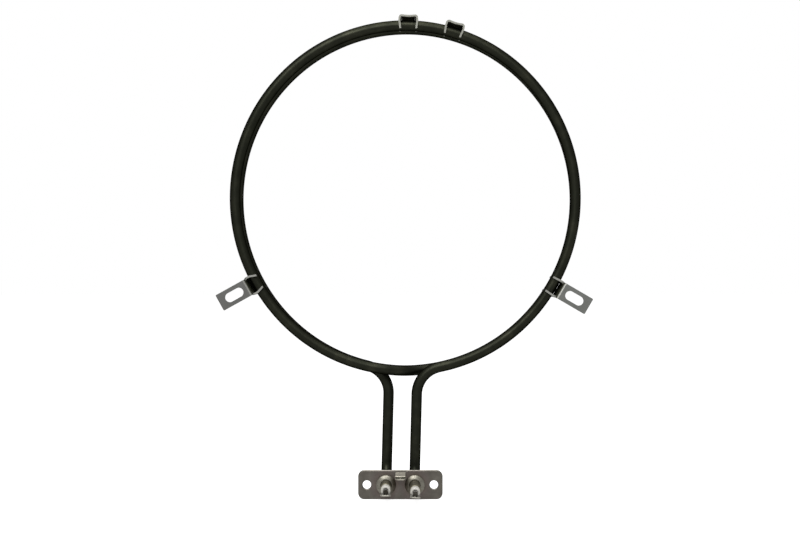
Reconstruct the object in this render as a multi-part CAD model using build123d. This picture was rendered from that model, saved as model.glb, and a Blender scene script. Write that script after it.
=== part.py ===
"""Two-turn ring heating element with a screw flange, tie clips and slotted brackets.

A swaged heating rod runs from the left terminal through the flange, up the left leg, once
round the rear turn, forward between the legs, once round the front turn and down the right
leg to the right terminal. Frame: millimetres, +Z up, +X to the right seen from the terminals,
-Y the way the terminals point. The origin is the middle of the flange's terminal-side face.
"""

from build123d import *
import math
import os
from dataclasses import dataclass

# Heating rod: a metal sheath swaged onto its packed core, so it is one solid.
ROD_DIAMETER = 6.8
RING_RADIUS = 109.1            # centreline of each turn, the mean of its height and width
RING_OVAL = 0.7                # half-height over that mean, and half-width under it
TURN_SPACING = 9.5             # front turn to rear turn, along Y
RING_HEIGHT = 70.5             # flange centre up to the lowest point of the front turn
RING_OFFSET_X = 3.1            # the rings sit a little to the right of the flange
REAR_TURN_SHIFT_X = 0.9        # the rear turn is not quite in line with the front one
REAR_TURN_SHIFT_Z = -0.6
CROSSOVER_HALF_ANGLE = 10.5    # the rod steps forward over this angle each side of the bottom
LEG_LEAN = 1.45                # degrees, both legs lean towards the rings' centre line
LEG_BEND_RADIUS = 18.0         # turn into leg
TERMINAL_BEND_RADIUS = 11.0    # leg into terminal
TERMINAL_STRAIGHT = 0.2        # rod left straight between the braze and that bend
TERMINAL_SPACING = 18.0
LEFT_STUB = 16.0               # sheath end in front of the flange
RIGHT_STUB = 22.5

# Rod ends: counterbore for bead and seal, then a bore for the cold pin.
END_BORE_DIAMETER = 5.6
END_BORE_DEPTH = 5.5
END_CHAMFER = 0.3
PIN_DIAMETER = 3.0
PIN_DEPTH = 24.0               # cold pin inside the sheath
PIN_CLEARANCE = 0.05
BEAD_DIAMETER = 5.9
BEAD_LENGTH = 6.5
BEAD_SPIGOT_LENGTH = 3.0
BEAD_CHAMFER = 0.7
BEAD_CLEARANCE = 0.1

# Push-on terminal blades, spot-welded under the pins' flattened ends.
BLADE_WIDTH = 6.3
BLADE_THICKNESS = 0.8
BLADE_LENGTH = 9.0
BLADE_TIP_CHAMFER = 1.2
BLADE_DETENT_DIAMETER = 1.8
BLADE_DETENT_FROM_TIP = 4.0
BLADE_GAP = 0.5                # bead's front to blade
PIN_WELD_LENGTH = 5.0          # pin lying on the blade
PIN_FLAT = 0.35                # taken off the pin's underside for the weld
BLADE_ROLL = {"left": 0.0, "right": 5.0}   # degrees round the pin, clockwise from the front

# Flange.
FLANGE_WIDTH = 53.0
FLANGE_HEIGHT = 18.4
FLANGE_THICKNESS = 1.5
FLANGE_CORNER_RADIUS = 4.0
FLANGE_EDGE_CHAMFER = 0.6
SCREW_SPACING = 42.0
SCREW_HOLE_DIAMETER = 5.3
ROD_HOLE_CLEARANCE = 0.1

# Collars in front of the flange and braze fillets behind it.
COLLAR_DIAMETER = 12.4
COLLAR_RIM = 0.8
COLLAR_HEIGHT = 2.8
COLLAR_NOSE_DIAMETER = 8.4
COLLAR_NOSE_CHAMFER = 0.25
COLLAR_MOUTH_CHAMFER = 0.2
COLLAR_CLEARANCE = 0.05
BRAZE_DIAMETER = 11.0
BRAZE_HEIGHT = 1.8
BRAZE_CLEARANCE = 0.02

# Earth tab, spot-welded above the middle of the flange.
EARTH_WIDTH = 6.3
EARTH_THICKNESS = 0.8
EARTH_LENGTH = 10.0
EARTH_FOOT_HEIGHT = 3.5
EARTH_TOP_MARGIN = 1.4         # flange's upper edge down to the foot
EARTH_BEND_RADIUS = 0.5
EARTH_DETENT_DIAMETER = 1.8
WELD_LAP = 0.001               # bends keep this much straight run at each end

# Folded channel that ties the two turns; the brackets have a slotted tab as well.
SHEET = 1.2
CHANNEL_WIDTH = 12.0
CHANNEL_BEND_RADIUS = 0.8      # inside of the fold
WALL_GAP = 1.9                 # rod to the channel's wall
ARM_WIDTH = 1.7                # comb arm in front of and behind the rods
ARM_REACH = 2.4                # outer arms, past the rod's centreline
SPACER_REACH = 3.0             # middle arm, past the rod's centreline
CHEEK_BEND_RADIUS = 6.0         # where a cheek bulges and closes again
CHEEK_BULGE_FROM_WALL = 3.2     # channel wall to the middle of that bulge
GRIP_CLEARANCE = 0.12
BOW_RADIUS = 22.0              # of a wall that is dished towards the rods
TAB_WIDTH = 11.1
TAB_REACH = 21.2               # channel wall to the tab's end
TAB_BEND_RADIUS = 1.0          # inside of the bend
TAB_CORNER_RADIUS = 0.6
TAB_RELIEF = 1.2               # cheeks stand clear of the tab's bend by this much
SLOT_WIDTH = 6.0
SLOT_LENGTH = 12.5
SLOT_FROM_WALL = 10.6          # channel wall to the slot's middle

# Sizes that follow.
ROD_RADIUS = ROD_DIAMETER / 2
TERMINAL_X = TERMINAL_SPACING / 2
FRONT_DEPTH = FLANGE_THICKNESS + BRAZE_HEIGHT + TERMINAL_STRAIGHT + TERMINAL_BEND_RADIUS
REAR_DEPTH = FRONT_DEPTH + TURN_SPACING
CHANNEL_FRONT = FRONT_DEPTH - ROD_RADIUS - GRIP_CLEARANCE - ARM_WIDTH
CHANNEL_REAR = REAR_DEPTH + ROD_RADIUS + GRIP_CLEARANCE + ARM_WIDTH
WALL_RADIUS = RING_RADIUS + ROD_RADIUS + WALL_GAP
BLADE_TOP = PIN_FLAT - PIN_DIAMETER / 2
OVAL_SPREAD = 2 * RING_OVAL / (math.sqrt(2) - 1)   # side arcs' radius less the end arcs'
OVAL_SHIFT = RING_OVAL + OVAL_SPREAD / 2           # arcs' centres from the turn's centre
TOWARDS_TERMINALS = Vector(0, -1, 0)
INTO_FLANGE = Vector(0, 1, 0)


@dataclass(frozen=True)
class Turn:
    """One turn of the rod at constant depth: four arcs that make it a little taller than wide.

    Angles are the outward normal's, from +X to +Z.
    """

    centre_x: float
    centre_z: float
    depth: float

    def arc_at(self, degrees):
        """Centre and radius of the arc at an angle; the side arcs are the flatter ones."""
        x, z = ((-1, 0), (0, 1), (1, 0), (0, -1))[round(degrees / 90) % 4]
        middle = Vector(self.centre_x, self.depth, self.centre_z)
        radius = RING_RADIUS + (abs(x) - abs(z)) * OVAL_SPREAD / 2
        return middle + Vector(x, 0, z) * OVAL_SHIFT, radius

    def point(self, degrees):
        angle = math.radians(degrees)
        centre, radius = self.arc_at(degrees)
        return centre + Vector(math.cos(angle), 0, math.sin(angle)) * radius

    def clockwise(self, degrees):
        """Direction of travel at an angle, clockwise seen from the terminals."""
        angle = math.radians(degrees)
        return Vector(math.sin(angle), 0, -math.cos(angle))

    def bottom_angle(self, point):
        """Angle of a point on the bottom arc."""
        way = point - self.arc_at(270)[0]
        return math.degrees(math.atan2(way.Z, way.X)) % 360

    def arcs(self, start, end):
        """Edges from one angle down to a smaller one, a new one where the radius changes."""
        joins = [join for join in range(585, -585, -90) if end < join < start]
        stops = [start, *joins, end]
        return [
            Edge.make_three_point_arc(self.point(a), self.point((a + b) / 2), self.point(b))
            for a, b in zip(stops, stops[1:])
        ]


FRONT_TURN = Turn(RING_OFFSET_X, RING_HEIGHT + RING_RADIUS + RING_OVAL, FRONT_DEPTH)
REAR_TURN = Turn(
    FRONT_TURN.centre_x + REAR_TURN_SHIFT_X,
    FRONT_TURN.centre_z + REAR_TURN_SHIFT_Z,
    REAR_DEPTH,
)


@dataclass(frozen=True)
class Leg:
    """Straight run from the terminal bend up to the bend that joins a turn from outside."""

    turn: Turn
    side: int                  # -1 left, +1 right
    stub: float

    @property
    def axis(self):
        """Point of the terminal's axis at the turn's depth."""
        return Vector(self.side * TERMINAL_X, self.turn.depth, 0)

    @property
    def up(self):
        lean = math.radians(LEG_LEAN)
        return Vector(math.sin(lean), 0, math.cos(lean))

    @property
    def bend_centre(self):
        """Centre of the bend that touches both the leg's line and the turn's bottom arc."""
        outwards = Vector(self.up.Z, 0, -self.up.X) * self.side
        start = self.axis + outwards * LEG_BEND_RADIUS
        centre, radius = self.turn.arc_at(270)
        gap = start - centre
        along = gap.dot(self.up)
        reach = radius + LEG_BEND_RADIUS
        rise = -along - math.sqrt(along**2 - gap.dot(gap) + reach**2)
        return start + self.up * rise

    @property
    def leg_top(self):
        return self.axis + self.up * (self.bend_centre - self.axis).dot(self.up)

    @property
    def turn_end(self):
        centre, radius = self.turn.arc_at(270)
        return centre + (self.bend_centre - centre) * (radius / (radius + LEG_BEND_RADIUS))

    @property
    def tip(self):
        return Vector(self.side * TERMINAL_X, -self.stub, 0)

    def edges_upwards(self):
        """Terminal stub, terminal bend, straight leg and ring bend, from the tip to the turn."""
        bend_start = Vector(self.axis.X, self.turn.depth - TERMINAL_BEND_RADIUS, 0)
        bend_end = self.axis + self.up * TERMINAL_BEND_RADIUS
        middle = (self.leg_top + self.turn_end) / 2 - self.bend_centre
        return [
            Edge.make_line(self.tip, bend_start),
            Edge.make_tangent_arc(bend_start, INTO_FLANGE, bend_end),
            Edge.make_line(bend_end, self.leg_top),
            Edge.make_three_point_arc(
                self.leg_top,
                self.bend_centre + middle.normalized() * LEG_BEND_RADIUS,
                self.turn_end,
            ),
        ]


LEFT_LEG = Leg(REAR_TURN, -1, LEFT_STUB)
RIGHT_LEG = Leg(FRONT_TURN, 1, RIGHT_STUB)
LEGS = {"left": LEFT_LEG, "right": RIGHT_LEG}


def crossover(start, start_way, end, end_way):
    """Two arcs, tangent to each other and to both turns, that step the rod forward."""
    step = end - start
    ways = start_way + end_way
    # Equal tangent lengths t at both ends: |step - t * ways| = 2 * t.
    square = ways.dot(ways) - 4
    linear = -2 * step.dot(ways)
    constant = step.dot(step)
    length = (-linear - math.sqrt(linear**2 - 4 * square * constant)) / (2 * square)
    first, last = start + start_way * length, end - end_way * length
    middle = (first + last) / 2
    return [
        Edge.make_tangent_arc(start, start_way, middle),
        Edge.make_tangent_arc(middle, (last - first).normalized(), end),
    ]


def rod_path():
    """The rod's centreline from the left tip to the right tip."""
    bottom = 270.0
    step_from = bottom + CROSSOVER_HALF_ANGLE - 360
    step_to = bottom - CROSSOVER_HALF_ANGLE
    down = [
        Edge.make_line(edge @ 1, edge @ 0) if edge.geom_type == GeomType.LINE
        else Edge.make_three_point_arc(edge @ 1, edge @ 0.5, edge @ 0)
        for edge in reversed(RIGHT_LEG.edges_upwards())
    ]
    return Wire(
        [
            *LEFT_LEG.edges_upwards(),
            *REAR_TURN.arcs(REAR_TURN.bottom_angle(LEFT_LEG.turn_end), step_from),
            *crossover(
                REAR_TURN.point(step_from),
                REAR_TURN.clockwise(step_from),
                FRONT_TURN.point(step_to),
                FRONT_TURN.clockwise(step_to),
            ),
            *FRONT_TURN.arcs(step_to, FRONT_TURN.bottom_angle(RIGHT_LEG.turn_end) - 360),
            *down,
        ]
    )


def on_axis(leg, front, diameter, length):
    """Cylinder on a terminal's axis, from `front` mm in front of the flange backwards."""
    plane = Plane(origin=(leg.axis.X, -front, 0), z_dir=INTO_FLANGE)
    return extrude(plane * Circle(diameter / 2), length)


def turned(leg, front, outline):
    """Turned piece on a terminal's axis; the outline is (radius, distance behind front)."""
    face = make_face(Polyline(*outline, close=True))
    return Pos(leg.axis.X, -front, 0) * revolve(face, Axis.Y)


def heating_rod():
    path = rod_path()
    rod = sweep(Plane(origin=LEFT_LEG.tip, z_dir=INTO_FLANGE) * Circle(ROD_RADIUS), path=path)
    for leg in LEGS.values():
        rod -= on_axis(leg, leg.stub, END_BORE_DIAMETER, END_BORE_DEPTH)
        rod -= on_axis(leg, leg.stub, PIN_DIAMETER + 2 * PIN_CLEARANCE, PIN_DEPTH)
    ends = [
        edge for edge in rod.edges().filter_by(GeomType.CIRCLE)
        if abs(edge.radius - ROD_RADIUS) < 1e-6 and edge.arc_center.Y < 0
    ]
    return chamfer(ends, END_CHAMFER)


def end_seal(leg):
    """Sealing plug behind the bead, down to the bottom of the counterbore."""
    outer = END_BORE_DIAMETER - 2 * PIN_CLEARANCE
    depth = END_BORE_DEPTH - BEAD_SPIGOT_LENGTH
    front = leg.stub - BEAD_SPIGOT_LENGTH
    return on_axis(leg, front, outer, depth) - on_axis(
        leg, front, PIN_DIAMETER + 2 * PIN_CLEARANCE, depth
    )


def ceramic_bead(leg):
    """Insulating bead with a spigot that sits in the sheath's end."""
    bore = PIN_DIAMETER / 2 + PIN_CLEARANCE
    spigot = END_BORE_DIAMETER / 2 - BEAD_CLEARANCE
    outer = BEAD_DIAMETER / 2
    bead = turned(
        leg,
        leg.stub + BEAD_LENGTH,
        [
            (bore, 0),
            (outer, 0),
            (outer, BEAD_LENGTH),
            (spigot, BEAD_LENGTH),
            (spigot, BEAD_LENGTH + BEAD_SPIGOT_LENGTH),
            (bore, BEAD_LENGTH + BEAD_SPIGOT_LENGTH),
        ],
    )
    front_rim = bead.edges().filter_by(GeomType.CIRCLE).group_by(Axis.Y)[0].sort_by(
        SortBy.RADIUS
    )[-1]
    return chamfer(front_rim, BEAD_CHAMFER)


def cold_pin(leg):
    """Pin from inside the sheath to the weld on the blade, flattened underneath there."""
    weld_end = leg.stub + BEAD_LENGTH + BLADE_GAP + PIN_WELD_LENGTH
    pin = on_axis(leg, weld_end, PIN_DIAMETER, weld_end - leg.stub + PIN_DEPTH)
    pin -= Pos(leg.axis.X, -weld_end, BLADE_TOP) * Box(
        PIN_DIAMETER, PIN_WELD_LENGTH, PIN_DIAMETER, align=(Align.CENTER, Align.MIN, Align.MAX)
    )
    return pin


def push_on_blade(width, length, thickness, detent):
    """Flat blade lying in XY, its root on the X axis and its tip towards -Y."""
    outline = Pos(0, -length / 2) * Rectangle(width, length)
    outline = chamfer(outline.vertices().group_by(Axis.Y)[0], BLADE_TIP_CHAMFER)
    outline -= Pos(0, BLADE_DETENT_FROM_TIP - length) * Circle(detent / 2)
    return extrude(outline, -thickness)


def terminal_blade(leg):
    root = leg.stub + BEAD_LENGTH + BLADE_GAP
    blade = push_on_blade(BLADE_WIDTH, BLADE_LENGTH, BLADE_THICKNESS, BLADE_DETENT_DIAMETER)
    return Pos(leg.axis.X, -root, BLADE_TOP) * blade


def rolled(leg, degrees, piece):
    """Turns a piece round the terminal's axis, clockwise seen from the front."""
    axis = Pos(leg.axis.X, 0, 0)
    return axis * Rot(0, degrees, 0) * axis.inverse() * piece


def flange_plate():
    face = Plane.XZ * RectangleRounded(FLANGE_WIDTH, FLANGE_HEIGHT, FLANGE_CORNER_RADIUS)
    plate = extrude(face, -FLANGE_THICKNESS)
    rim = plate.edges().group_by(Axis.Y)[0]
    plate = chamfer(rim, FLANGE_EDGE_CHAMFER)
    for x in (-SCREW_SPACING / 2, SCREW_SPACING / 2):
        hole = Plane(origin=(x, 0, 0), z_dir=INTO_FLANGE) * Circle(SCREW_HOLE_DIAMETER / 2)
        plate -= extrude(hole, FLANGE_THICKNESS)
    for leg in LEGS.values():
        plate -= on_axis(leg, 0, ROD_DIAMETER + 2 * ROD_HOLE_CLEARANCE, FLANGE_THICKNESS)
    return plate


def collar(leg):
    """Tapered collar that stiffens the rod where it leaves the flange."""
    bore = ROD_RADIUS + COLLAR_CLEARANCE
    nose = COLLAR_NOSE_DIAMETER / 2
    outer = COLLAR_DIAMETER / 2
    piece = turned(
        leg,
        COLLAR_HEIGHT,
        [
            (bore + COLLAR_MOUTH_CHAMFER, 0),
            (nose, 0),
            (outer, COLLAR_HEIGHT - COLLAR_RIM),
            (outer, COLLAR_HEIGHT),
            (bore, COLLAR_HEIGHT),
            (bore, COLLAR_MOUTH_CHAMFER),
        ],
    )
    circles = piece.edges().filter_by(GeomType.CIRCLE)
    nose_rim = circles.group_by(Axis.Y)[0].sort_by(SortBy.RADIUS)[-1]
    return chamfer(nose_rim, COLLAR_NOSE_CHAMFER)


def braze_ring(leg):
    """Braze fillet between the rod and the flange's rear face."""
    inner = ROD_RADIUS + BRAZE_CLEARANCE
    outer = BRAZE_DIAMETER / 2
    return turned(leg, -FLANGE_THICKNESS, [(inner, 0), (outer, 0), (inner, BRAZE_HEIGHT)])


def bent_strip(points, bend_radius, width, thickness, width_way):
    """Strip of sheet that follows the filleted line through the points, its middle surface."""
    path = FilletPolyline(*points, radius=bend_radius + thickness / 2)
    start = Plane(origin=path @ 0, x_dir=width_way, z_dir=path % 0)
    return sweep(start * Rectangle(width, thickness), path=path)


def earth_tab():
    """Bent tab: a short foot welded to the flange and a blade towards the terminals."""
    top = FLANGE_HEIGHT / 2 - EARTH_TOP_MARGIN
    blade_top = top - EARTH_FOOT_HEIGHT + EARTH_THICKNESS
    bend = EARTH_THICKNESS + EARTH_BEND_RADIUS
    half = EARTH_THICKNESS / 2
    foot = bent_strip(
        [(0, -half, top), (0, -half, blade_top - half), (0, -bend, blade_top - half)],
        EARTH_BEND_RADIUS - WELD_LAP,
        EARTH_WIDTH,
        EARTH_THICKNESS,
        (1, 0, 0),
    )
    blade = push_on_blade(
        EARTH_WIDTH, EARTH_LENGTH - bend, EARTH_THICKNESS, EARTH_DETENT_DIAMETER
    )
    return foot + Pos(0, -bend, blade_top) * blade


@dataclass(frozen=True)
class Holder:
    """A pressed channel: where it sits on the rings and how its sheet was bent by hand."""

    degrees: float
    closing: float             # each cheek leans in by this much at its tip
    bulge: float = 0.0         # and stands out by this much on the way
    bow: float = 0.0           # the wall is dished towards the rods

    @property
    def station(self):
        """Frame on the front turn: X outwards, with the rod at RING_RADIUS, Z forwards."""
        angle = math.radians(self.degrees)
        outwards = Vector(math.cos(angle), 0, math.sin(angle))
        rod = FRONT_TURN.point(self.degrees)
        return Plane(
            origin=Vector(rod.X, 0, rod.Z) - outwards * RING_RADIUS,
            x_dir=outwards,
            z_dir=TOWARDS_TERMINALS,
        )


BRACKETS = {
    "bracket_left": Holder(209.1, closing=1.3, bulge=0.5),
    "bracket_right": Holder(-30.2, closing=0.5),
}
CLIPS = {
    "tie_clip_top": Holder(89.0, closing=0.3, bulge=0.35, bow=0.7),
    "tie_clip_upper_right": Holder(73.5, closing=0.4, bulge=0.3, bow=0.7),
}


def cheek_line(holder, side):
    """Corners of one cheek's middle surface, from its tip to the wall."""
    edge = CHANNEL_WIDTH / 2 - SHEET / 2
    wall = WALL_RADIUS + SHEET / 2
    line = [(RING_RADIUS - SPACER_REACH + SHEET / 2, edge - holder.closing)]
    if holder.bulge:
        line.append((wall - CHEEK_BULGE_FROM_WALL, edge + holder.bulge))
    line.append((wall, edge))
    return [(x, side * y) for x, y in line]


def channel(holder):
    """Folded channel in station coordinates, its cheeks notched like combs for the rods."""
    wall = WALL_RADIUS + SHEET / 2
    corner = CHANNEL_BEND_RADIUS + SHEET / 2
    up, down = cheek_line(holder, 1), cheek_line(holder, -1)
    cheek = [CHEEK_BEND_RADIUS] if holder.bulge else []
    dish = [(wall - holder.bow, 0)] if holder.bow else []
    bow = [BOW_RADIUS] if holder.bow else []
    spine = FilletPolyline(
        *up, *dish, *reversed(down), radius=[*cheek, corner, *bow, corner, *cheek]
    )
    section = make_face(offset(spine, SHEET / 2, side=Side.BOTH).edges())
    depth = CHANNEL_REAR - CHANNEL_FRONT
    body = Pos(0, 0, -CHANNEL_REAR) * extrude(section, depth)
    grip = ROD_RADIUS + GRIP_CLEARANCE
    edge = CHANNEL_WIDTH / 2 - SHEET / 2
    for turn in (FRONT_TURN, REAR_TURN):
        centre, radius = turn.arc_at(holder.degrees)
        rod = holder.station.to_local_coords(centre).X + math.sqrt(radius**2 - edge**2)
        across = Plane(origin=(rod, 0, -turn.depth), z_dir=(0, 1, 0), x_dir=(1, 0, 0))
        notch = Circle(grip) + Rectangle(2 * RING_RADIUS, 2 * grip, align=(Align.MAX, Align.CENTER))
        body -= extrude(across * notch, CHANNEL_WIDTH, both=True)
    # The outer arms end before the middle one.
    for depth_low, depth_high in (
        (CHANNEL_FRONT, CHANNEL_FRONT + ARM_WIDTH),
        (CHANNEL_REAR - ARM_WIDTH, CHANNEL_REAR),
    ):
        middle = (depth_low + depth_high) / 2
        body -= Pos(RING_RADIUS - ARM_REACH, 0, -middle) * Box(
            2 * SPACER_REACH,
            CHANNEL_WIDTH,
            ARM_WIDTH,
            align=(Align.MAX, Align.CENTER, Align.CENTER),
        )
    return body


def slotted_tab():
    """Tab bent outwards from the channel's front edge, in station coordinates."""
    bend = TAB_BEND_RADIUS + SHEET
    wall = WALL_RADIUS + SHEET / 2
    face = -CHANNEL_FRONT - SHEET / 2
    tab = bent_strip(
        [(wall, 0, -CHANNEL_FRONT - bend), (wall, 0, face), (WALL_RADIUS + TAB_REACH, 0, face)],
        TAB_BEND_RADIUS - WELD_LAP,
        TAB_WIDTH,
        SHEET,
        (0, 1, 0),
    )
    corners = tab.edges().filter_by(Axis.Z).group_by(Axis.X)[-1]
    tab = fillet(corners, TAB_CORNER_RADIUS)
    slot = Pos(WALL_RADIUS + SLOT_FROM_WALL, 0, -CHANNEL_FRONT) * SlotOverall(
        SLOT_LENGTH, SLOT_WIDTH
    )
    return tab - extrude(slot, SHEET, both=True)


def tie_clip(holder):
    return holder.station.location * channel(holder)


def bracket(holder):
    outer = TAB_BEND_RADIUS + SHEET
    relief = Pos(WALL_RADIUS - TAB_RELIEF, 0, -CHANNEL_FRONT - outer) * Box(
        2 * TAB_RELIEF + SHEET, CHANNEL_WIDTH, outer, align=(Align.MIN, Align.CENTER, Align.MIN)
    )
    return holder.station.location * (channel(holder) - relief + slotted_tab())


def build():
    """Every piece by name."""
    pieces = {"heating_rod": heating_rod(), "flange_plate": flange_plate()}
    for side, leg in LEGS.items():
        roll = BLADE_ROLL[side]
        pieces[f"cold_pin_{side}"] = rolled(leg, roll, cold_pin(leg))
        pieces[f"end_seal_{side}"] = end_seal(leg)
        pieces[f"ceramic_bead_{side}"] = ceramic_bead(leg)
        pieces[f"terminal_blade_{side}"] = rolled(leg, roll, terminal_blade(leg))
        pieces[f"collar_{side}"] = collar(leg)
        pieces[f"braze_ring_{side}"] = braze_ring(leg)
    pieces["earth_tab"] = earth_tab()
    for name, holder in BRACKETS.items():
        pieces[name] = bracket(holder)
    for name, holder in CLIPS.items():
        pieces[name] = tie_clip(holder)
    return pieces


os.makedirs("parts", exist_ok=True)
for node, piece in build().items():
    export_step(piece, f"parts/{node}.step")
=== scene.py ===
"""Dresses the two-turn ring heating element.

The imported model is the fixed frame. Every sub-assembly is a class whose sizes are in
millimetres; every finish is a frozen dataclass whose colours are sRGB hex values.
"""

from __future__ import annotations

import logging
import math
from dataclasses import dataclass, field
from enum import Enum
from typing import Any, Callable, Iterable, Sequence

import bmesh
import bpy
from mathutils import Matrix, Vector, noise

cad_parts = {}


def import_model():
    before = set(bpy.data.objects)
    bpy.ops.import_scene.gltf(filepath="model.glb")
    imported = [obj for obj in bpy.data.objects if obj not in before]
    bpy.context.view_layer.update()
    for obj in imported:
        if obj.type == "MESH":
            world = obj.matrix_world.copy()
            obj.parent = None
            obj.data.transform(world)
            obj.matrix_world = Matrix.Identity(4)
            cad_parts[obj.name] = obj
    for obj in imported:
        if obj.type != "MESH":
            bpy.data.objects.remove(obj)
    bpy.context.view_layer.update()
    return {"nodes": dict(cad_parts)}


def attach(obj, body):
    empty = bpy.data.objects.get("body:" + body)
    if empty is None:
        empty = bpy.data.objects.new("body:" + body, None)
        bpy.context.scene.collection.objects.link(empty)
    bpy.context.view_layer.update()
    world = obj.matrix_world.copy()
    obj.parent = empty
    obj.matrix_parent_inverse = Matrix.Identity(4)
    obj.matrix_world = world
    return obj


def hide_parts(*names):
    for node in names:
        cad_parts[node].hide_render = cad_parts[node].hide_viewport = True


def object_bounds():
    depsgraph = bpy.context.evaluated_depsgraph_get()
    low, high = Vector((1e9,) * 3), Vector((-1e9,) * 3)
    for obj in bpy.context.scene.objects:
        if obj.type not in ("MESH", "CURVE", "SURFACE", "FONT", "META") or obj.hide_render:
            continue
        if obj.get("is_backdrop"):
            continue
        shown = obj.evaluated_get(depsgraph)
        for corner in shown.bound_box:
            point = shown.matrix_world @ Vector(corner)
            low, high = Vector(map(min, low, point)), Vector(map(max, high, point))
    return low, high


LOG = logging.getLogger("ring_element")
MM = 0.001
BODY = "root"
Point2 = tuple[float, float]
Point3 = tuple[float, float, float]
Span = tuple[float, float]
Inputs = dict[str | int, Any]
Tree = bpy.types.NodeTree
Socket = bpy.types.NodeSocket

# Sizes in millimetres that several sub-assemblies share.
ROD_DIAMETER = 6.8
RING_CENTRE: Point2 = (3.1, 180.3)
TERMINAL_SPACING = 18.0
FLANGE_THICKNESS = 1.5
COUNTERBORE = 5.6
COUNTERBORE_DEPTH = 5.5

# A wave texture of scale one repeats at this distance.
WAVE_PERIOD = 0.314


class Side(Enum):
    """The two terminals, as seen from the front."""

    LEFT = -1
    RIGHT = 1

    @property
    def label(self) -> str:
        """The side's part of a node's name."""
        return self.name.lower()

    @property
    def terminal(self) -> float:
        """Where the side's terminal stands along X."""
        return self.value * TERMINAL_SPACING / 2


class Visible(Enum):
    """What kind of light path sees the white surroundings at full strength."""

    CAMERA = "Is Camera Ray"
    GLOSSY = "Is Glossy Ray"
    TRANSMISSION = "Is Transmission Ray"


# --------------------------------------------------------------------------------------
# Nodes and colours


def linear(colour: str) -> tuple[float, float, float, float]:
    """Turns an sRGB hex colour into linear RGBA.

    Args:
        colour: six hex digits after a hash sign.

    Returns:
        Linear red, green and blue, and an alpha of one.
    """
    channels = []
    for start in (1, 3, 5):
        value = int(colour[start : start + 2], 16) / 255
        channels.append(value / 12.92 if value <= 0.04045 else ((value + 0.055) / 1.055) ** 2.4)
    return channels[0], channels[1], channels[2], 1.0


def add_node(
    tree: Tree, kind: str, inputs: Inputs | None = None, **settings: Any
) -> bpy.types.Node:
    """Adds one node with its settings and links.

    Args:
        tree: the tree that gets the node.
        kind: the node's type name.
        inputs: a value, or the output socket to link, for each input socket.
        **settings: the node's own properties.

    Returns:
        The new node.
    """
    node = tree.nodes.new(kind)
    for name, value in settings.items():
        setattr(node, name, value)
    for key, value in (inputs or {}).items():
        if isinstance(value, Socket):
            tree.links.new(value, node.inputs[key])
        else:
            node.inputs[key].default_value = value
    return node


# --------------------------------------------------------------------------------------
# Finishes


@dataclass(frozen=True)
class Finish:
    """A surface finish; one class for each real material."""

    name: str
    slot: str

    def paint(self, tree: Tree) -> Inputs:
        """Builds the pattern nodes.

        Args:
            tree: the material's node tree.

        Returns:
            Inputs of the surface shader, as values or sockets.
        """
        raise NotImplementedError

    def material(self) -> bpy.types.Material:
        """Builds the material, once.

        Returns:
            The material.
        """
        made = bpy.data.materials.get(self.name)
        if made is not None:
            return made
        made = bpy.data.materials.new(self.name)
        made.use_nodes = True
        tree = made.node_tree
        tree.nodes.clear()
        shader = add_node(tree, "ShaderNodeBsdfPrincipled", self.paint(tree))
        add_node(tree, "ShaderNodeOutputMaterial", {"Surface": shader.outputs[0]})
        return made

    def millimetres(self, tree: Tree, stretch: Point3 = (1, 1, 1)) -> Socket:
        """Object coordinates in millimetres.

        Args:
            tree: the material's node tree.
            stretch: factor for each axis; below one draws the pattern out along it.

        Returns:
            The vector socket.
        """
        place = add_node(tree, "ShaderNodeTexCoord")
        scale = [factor / MM for factor in stretch]
        mapping = add_node(tree, "ShaderNodeMapping", {
            "Vector": place.outputs["Object"], "Scale": scale,
        })
        return mapping.outputs[0]


@dataclass(frozen=True)
class Metal(Finish):
    """A metal whose gloss and fine relief follow its pattern."""

    rough: Span = (0.3, 0.5)
    bump: float = 0.3
    relief: float = 0.01

    def surface(self, tree: Tree, colour: Socket, height: Socket, polish: Socket) -> Inputs:
        """Gathers the shader's inputs.

        Args:
            tree: the material's node tree.
            colour: the metal's colour.
            height: the pattern's height.
            polish: from zero at the dullest to one at the glossiest.

        Returns:
            Inputs of the surface shader.
        """
        gloss = add_node(tree, "ShaderNodeMapRange", {
            "Value": polish, "To Min": self.rough[1], "To Max": self.rough[0],
        }).outputs[0]
        normal = add_node(tree, "ShaderNodeBump", {
            "Height": height, "Strength": self.bump, "Distance": self.relief * MM,
        }).outputs[0]
        return {"Base Color": colour, "Metallic": 1.0, "Roughness": gloss, "Normal": normal}


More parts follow.
